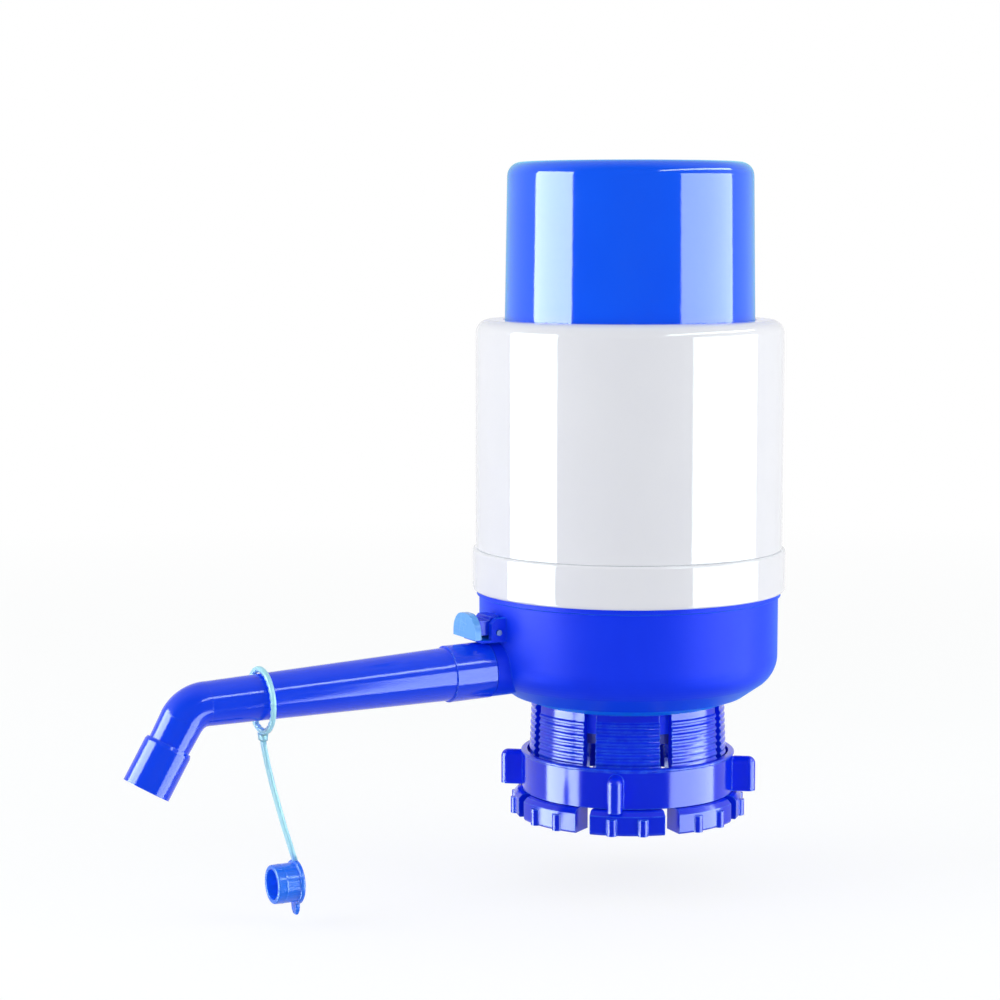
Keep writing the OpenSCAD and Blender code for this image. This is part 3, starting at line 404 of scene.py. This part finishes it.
# ---- Tether loop: the ring that the strap hangs from. Its inner side is beaded so that it grips
# the spout lightly, and a small eyelet under it holds the strap.
PORT_Z, DROOP = 51.5636, 1.8
on_spout = Matrix.Translation((0, 0, PORT_Z * MM)) @ Matrix.Rotation(math.radians(-90 - DROOP), 4, "Y")
LOOP_R, LOOP_WIRE, LOOP_X, LOOP_DROOP = 8.4, 2.1, 125.991, 1.052
LOOP_HALF, LOOP_STEPS, BEADS, BEAD_DEPTH = 0.8, 208, 26, 0.62
low = LOOP_R + LOOP_WIRE
outer = low - 0.25
shape = bmesh.new()
sections = []
for k in range(LOOP_STEPS):
    turn = math.tau * k / LOOP_STEPS
    inner = LOOP_R + BEAD_DEPTH * (1 - abs(math.sin(turn * BEADS / 2)))
    outline = rounded([
        (inner, -LOOP_HALF, 0.5), (outer, -LOOP_HALF, 0.6),
        (outer, LOOP_HALF, 0.6), (inner, LOOP_HALF, 0.5)], 3)
    sections.append([(r * math.cos(turn), r * math.sin(turn), z) for r, z in outline])
lofted(shape, sections, closed=True)
eye = ((low - 0.5, 1.9), (low + 0.3, 1.5), (low + 1.1, 1.4), (low + 1.6, 1.25))
lofted(shape, [[(-x, -w, -1), (-x, w, -1), (-x, w, 1), (-x, -w, 1)] for x, w in eye])
placed(shape, on_spout @ Matrix.Translation((-LOOP_DROOP * MM, 0, LOOP_X * MM)))
piece("tether_loop", shape, tether_cyan, "tether", ["tether_ring"])

# ---- Cap: the blue cup that the hand presses. It is glossy polypropylene, moulded in one piece
# with the stop flange inside the casing, with a polished skin and fine rub marks.
CASING_TOP, CAP_TOP = 157.66, 206.76
cap_blue = moulded(
    "cap blue", (0.004, 0.106, 1.0), (0.003, 0.092, 0.97), (0.1, 0.34, 1.0), 0.07,
    Sheen_Weight=0.9, Sheen_Roughness=0.36, Sheen_Tint=(0.0, 0.8, 1.0, 1))
shape = bmesh.new()
turned(shape, rounded([
    (0, CAP_TOP - 0.25, 0), (1.1, CAP_TOP - 0.25, 0.1), (1.5, CAP_TOP, 0.2), (38.6, CAP_TOP, 4.4),
    (39.4, CASING_TOP, 0), (39.4, 148.86, 0.3), (45.9, 148.86, 0.5), (45.9, 146.36, 0.5),
    (37.4, 146.36, 0.3), (37.4, CASING_TOP, 0), (36.6, 204.76, 2.4), (14, 204.76, 0),
    (14, 201.36, 0.3), (12, 201.36, 0.3), (12, 204.76, 0), (0, 204.76, 0)], 8))
piece("press_cap_shell", shape, cap_blue, "cap", ["press_cap"])

# ---- Bellows: the folded air bag under the cap, blow-moulded of soft milky plastic. Its foot is
# clamped on the deck and its head holds the top plate.
bellows_milk = moulded(
    "bellows milk", (0.78, 0.82, 0.87), (0.7, 0.75, 0.82), (0.9, 0.92, 0.95), 0.42, grit=0.1, bump=0.15,
    waves=90.0, Subsurface_Weight=0.3, Subsurface_Radius=(0.003, 0.003, 0.004))
DECK, PLATE, FOLDS = 82.86, 198.96, 12
MOUTH_R, RIM_T, WALL = 26.2, 1.6, 1.2
FOLD_R, FOLD_DEPTH, FOLD_STEPS = 31.4, 4, 10
fold = (PLATE - DECK - 2 * RIM_T) / FOLDS
folds = []
for i in range(FOLD_STEPS * FOLDS + 1):
    t = i / FOLD_STEPS
    folds.append((DECK + RIM_T + fold * t, FOLD_R - FOLD_DEPTH * math.cos(math.tau * t)))
outline = [(MOUTH_R, DECK), (38, DECK), (38, DECK + RIM_T)]
outline += [(r, z) for z, r in folds]
outline += [(34, PLATE - RIM_T), (34, PLATE), (MOUTH_R, PLATE)]
outline += [(r - WALL, z) for z, r in folds[::-1]]
shape = bmesh.new()
turned(shape, outline, 96)
bag = piece("bellows_bag", shape, bellows_milk, "body", ["bellows"])
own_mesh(bag)


# ---- Return spring: a coil of drawn stainless wire inside the bellows, with closed ends. It
# stands on the deck and lifts the plate and the cap.
def coil(shape, radius, wire, low, high, turns, per_turn, sides):
    """Adds a coil round Z of a wire with the radius wire. Its first and last turns lie close, as a
    spring's closed ends do."""
    end_rise = 2.15 * wire
    rise = (high - low - 2 * wire - 2 * end_rise) / (turns - 2)
    sections = []
    for i in range(turns * per_turn + 1):
        t = i / per_turn
        end_turns = min(t, 1) + max(0, t - turns + 1)
        z = low + wire + end_turns * end_rise + min(max(0, t - 1), turns - 2) * rise
        out = Vector((math.cos(math.tau * t), math.sin(math.tau * t), 0))
        middle = out * radius + Vector((0, 0, z))
        angles = [math.tau * s / sides for s in range(sides)]
        ring = [out * (wire * math.cos(a)) + Vector((0, 0, wire * math.sin(a))) for a in angles]
        sections.append([middle + point for point in ring])
    lofted(shape, sections)


def metal(name, colour, rough, streaks):
    """Drawn or turned steel: fine streaks along the wire vary its gloss, and handling dulls it in spots."""
    made = bpy.data.materials.new(name)
    tree = clear_tree(made)
    where = put(tree, "TexCoord")
    laid = put(tree, "Mapping", {"Vector": where.outputs["Object"], "Scale": streaks})
    drawn = put(tree, "TexNoise", {"Vector": laid.outputs[0], "Scale": 500.0, "Detail": 4.0})
    spots = put(tree, "TexNoise", {"Vector": where.outputs["Object"], "Scale": 220.0, "Detail": 3.0})
    grades = {"Value": drawn.outputs["Fac"], "To Min": rough - 0.08, "To Max": rough + 0.1}
    dull = put(tree, "MapRange", grades)
    handled = (*[c * 0.86 for c in colour], 1)
    tint = put(tree, "Mix", {0: spots.outputs["Fac"], 6: handled, 7: (*colour, 1)}, data_type="RGBA")
    relief = put(tree, "Bump", {"Strength": 0.08, "Distance": 0.2 * MM, "Height": drawn.outputs["Fac"]})
    steel = put(tree, "BsdfPrincipled", {
        "Base Color": tint.outputs[2], "Metallic": 1.0, "Roughness": dull.outputs[0],
        "Normal": relief.outputs[0]})
    tree.links.new(steel.outputs[0], put(tree, "OutputMaterial").inputs[0])
    return made


steel_wire = metal("steel wire", (0.56, 0.58, 0.61), 0.26, (1, 1, 9))
SPRING_FOOT, SPRING_HEAD = 82.96, 198.86
shape = bmesh.new()
coil(shape, 20, 1.1, SPRING_FOOT, SPRING_HEAD, 9, 36, 12)
spring = piece("return_coil", shape, steel_wire, "body", ["return_spring"])
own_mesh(spring)

# ---- Top plate and intake valve: the disc that closes the bellows' head, moulded of milky
# plastic, and the soft rubber flap that lets air in through it.
milky = moulded(
    "milky plastic", (0.8, 0.84, 0.88), (0.74, 0.79, 0.84), (0.9, 0.92, 0.94), 0.35, grit=0.08, bump=0.08)
white_rubber = moulded(
    "white rubber", (0.64, 0.68, 0.72), (0.58, 0.62, 0.67), (0.78, 0.8, 0.83), 0.58, grit=0.1, bump=0.2,
    wear_and_highlight_share=0.2)
finish_node("bellows_top_plate", milky)
finish_node("intake_valve", white_rubber)

# ---- Casing: the white barrel of glossy ABS that the cap slides in, with a rounded shoulder, a
# polished mouth, and a guide sleeve that hangs inside the mouth.
white_shell = moulded(
    "casing white", (0.865, 0.875, 0.915), (0.845, 0.855, 0.9), (0.92, 0.93, 0.95), 0.045, grit=0.03,
    bump=0.02)
COLLAR_TOP = 85.46
shape = bmesh.new()
turned(shape, rounded([
    (46.4, COLLAR_TOP, 0.3), (48.6, COLLAR_TOP, 0.4), (48.6, CASING_TOP, 8), (39.8, CASING_TOP, 0.5),
    (39.8, 149.16, 0.4), (41.8, 149.16, 0.4), (41.8, 155.46, 0.8), (46.4, 155.46, 5.6)], 10))
piece("casing_barrel", shape, white_shell, "body", ["casing"])

# ---- Collar: a separate white ring that covers the joint between casing and cup. It stands a
# millimetre proud and is snapped on over the cup's rim.
COLLAR_FOOT = 72.16
shape = bmesh.new()
turned(shape, rounded([
    (46.4, COLLAR_FOOT, 0.3), (49.6, COLLAR_FOOT, 0.9),
    (49.6, COLLAR_TOP, 0.9), (46.4, COLLAR_TOP, 0.3)], 8))
piece("collar_ring", shape, white_shell, "body", ["casing_collar"])

# ---- Valve deck: the milky plate that closes the base cup, with the outlet valve under it, the
# ring that clamps the bellows' foot, and four steel screws.
finish_node("valve_deck", milky)
finish_node("outlet_valve", white_rubber)
finish_node("bellows_ring", milky)
screw_steel = metal("screw steel", (0.6, 0.61, 0.63), 0.32, (6, 6, 1))
finish_node("deck_screws", screw_steel)

# ---- Base cup: the satin blue cup under the collar, moulded with its lip, the ledge for the deck,
# four screw bosses, the spout's port and the lever's bracket.
base_blue = moulded(
    "cup blue", (0.003, 0.04, 0.95), (0.002, 0.032, 0.88), (0.03, 0.17, 0.98), 0.42, grit=0.12, bump=0.12,
    grain=3200.0, scratches=0.08, Specular_IOR_Level=0.12, Sheen_Weight=0.4, Sheen_Roughness=0.36,
    Sheen_Tint=(0.0, 0.7, 1.0, 1))
finish_node("base_cup", base_blue)

# ---- Water elbow and gasket: the milky pipe that carries water from the dip tube to the port,
# and the rubber ring that the jug's mouth presses on.
finish_node("water_elbow", milky)
navy_rubber = moulded(
    "navy rubber", (0.004, 0.012, 0.3), (0.003, 0.009, 0.24), (0.02, 0.05, 0.5), 0.55, grit=0.12, bump=0.2,
    wear_and_highlight_share=0.3)
finish_node("bottle_gasket", navy_rubber)

# ---- Collet: eight threaded fingers that grip the jug's neck, under one ring, with flared feet.
# They are moulded in one piece of springy glossy plastic.
# Its edges are paled at twice the usual share, mostly a painted highlight along the fingers' slot edges
neck_blue = moulded(
    "neck blue", (0.002, 0.028, 0.84), (0.0015, 0.019, 0.74), (0.05, 0.26, 1.0), 0.14, wear_and_highlight_share=0.7,
    Specular_IOR_Level=0.45)
finish_node("neck_collet", neck_blue)

# ---- Clamp ring: the screw ring with four wings that presses the fingers on the jug's neck. It is
# moulded of the same blue plastic as the fingers, and runs on their thread.
finish_node("clamp_ring", neck_blue)

# ---- Spout: socket, tapered tube, elbow and bell-mouthed nozzle, blown and moulded in one piece
# of glossy plastic. Its socket turns on the port's spigot, sealed by two rubber rings.
spout_blue = moulded(
    "spout blue", (0.004, 0.066, 0.95), (0.003, 0.05, 0.9), (0.08, 0.3, 1.0), 0.12, scratches=0.05,
    Specular_IOR_Level=0.4)
black_rubber = moulded(
    "black rubber", (0.022, 0.025, 0.032), (0.016, 0.018, 0.024), (0.06, 0.065, 0.075), 0.6, grit=0.12,
    bump=0.2, wear_and_highlight_share=0.3)
finish_node("spout", spout_blue)
finish_node("spout_o_rings", black_rubber)

# ---- Relief lever: the thumb plate and arm that open the vent above the spout. It turns on a
# steel pin, is pushed up by a small coil, and shuts the vent with a rubber pad.
# The thumb plate beyond X -55.8 mm is painted a lighter blue, a painted highlight where the light falls on
# the plate
lever_blue = moulded(
    "lever blue", (0.006, 0.045, 0.86), (0.004, 0.035, 0.8), (0.2, 0.5, 0.97), 0.26,
    painted_highlight=((0.13, 0.44, 1.0), -55.8 * MM), Specular_IOR_Level=0.35)
finish_node("relief_lever", lever_blue)
finish_node("lever_pin", metal("pin steel", (0.2, 0.26, 0.5), 0.5, (1, 9, 1)))
finish_node("vent_seal", black_rubber)
LEVER_SPRING_X = -53.2
low, high = (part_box("lever_spring")[k][2] / MM for k in (0, 1))
shape = bmesh.new()
coil(shape, 1.5, 0.25, low, high, 3, 24, 8)
placed(shape, Matrix.Translation((LEVER_SPRING_X * MM, 0, 0)))
lever_coil = piece("lever_coil", shape, steel_wire, "body", ["lever_spring"])
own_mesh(lever_coil)

bpy.context.view_layer.update()
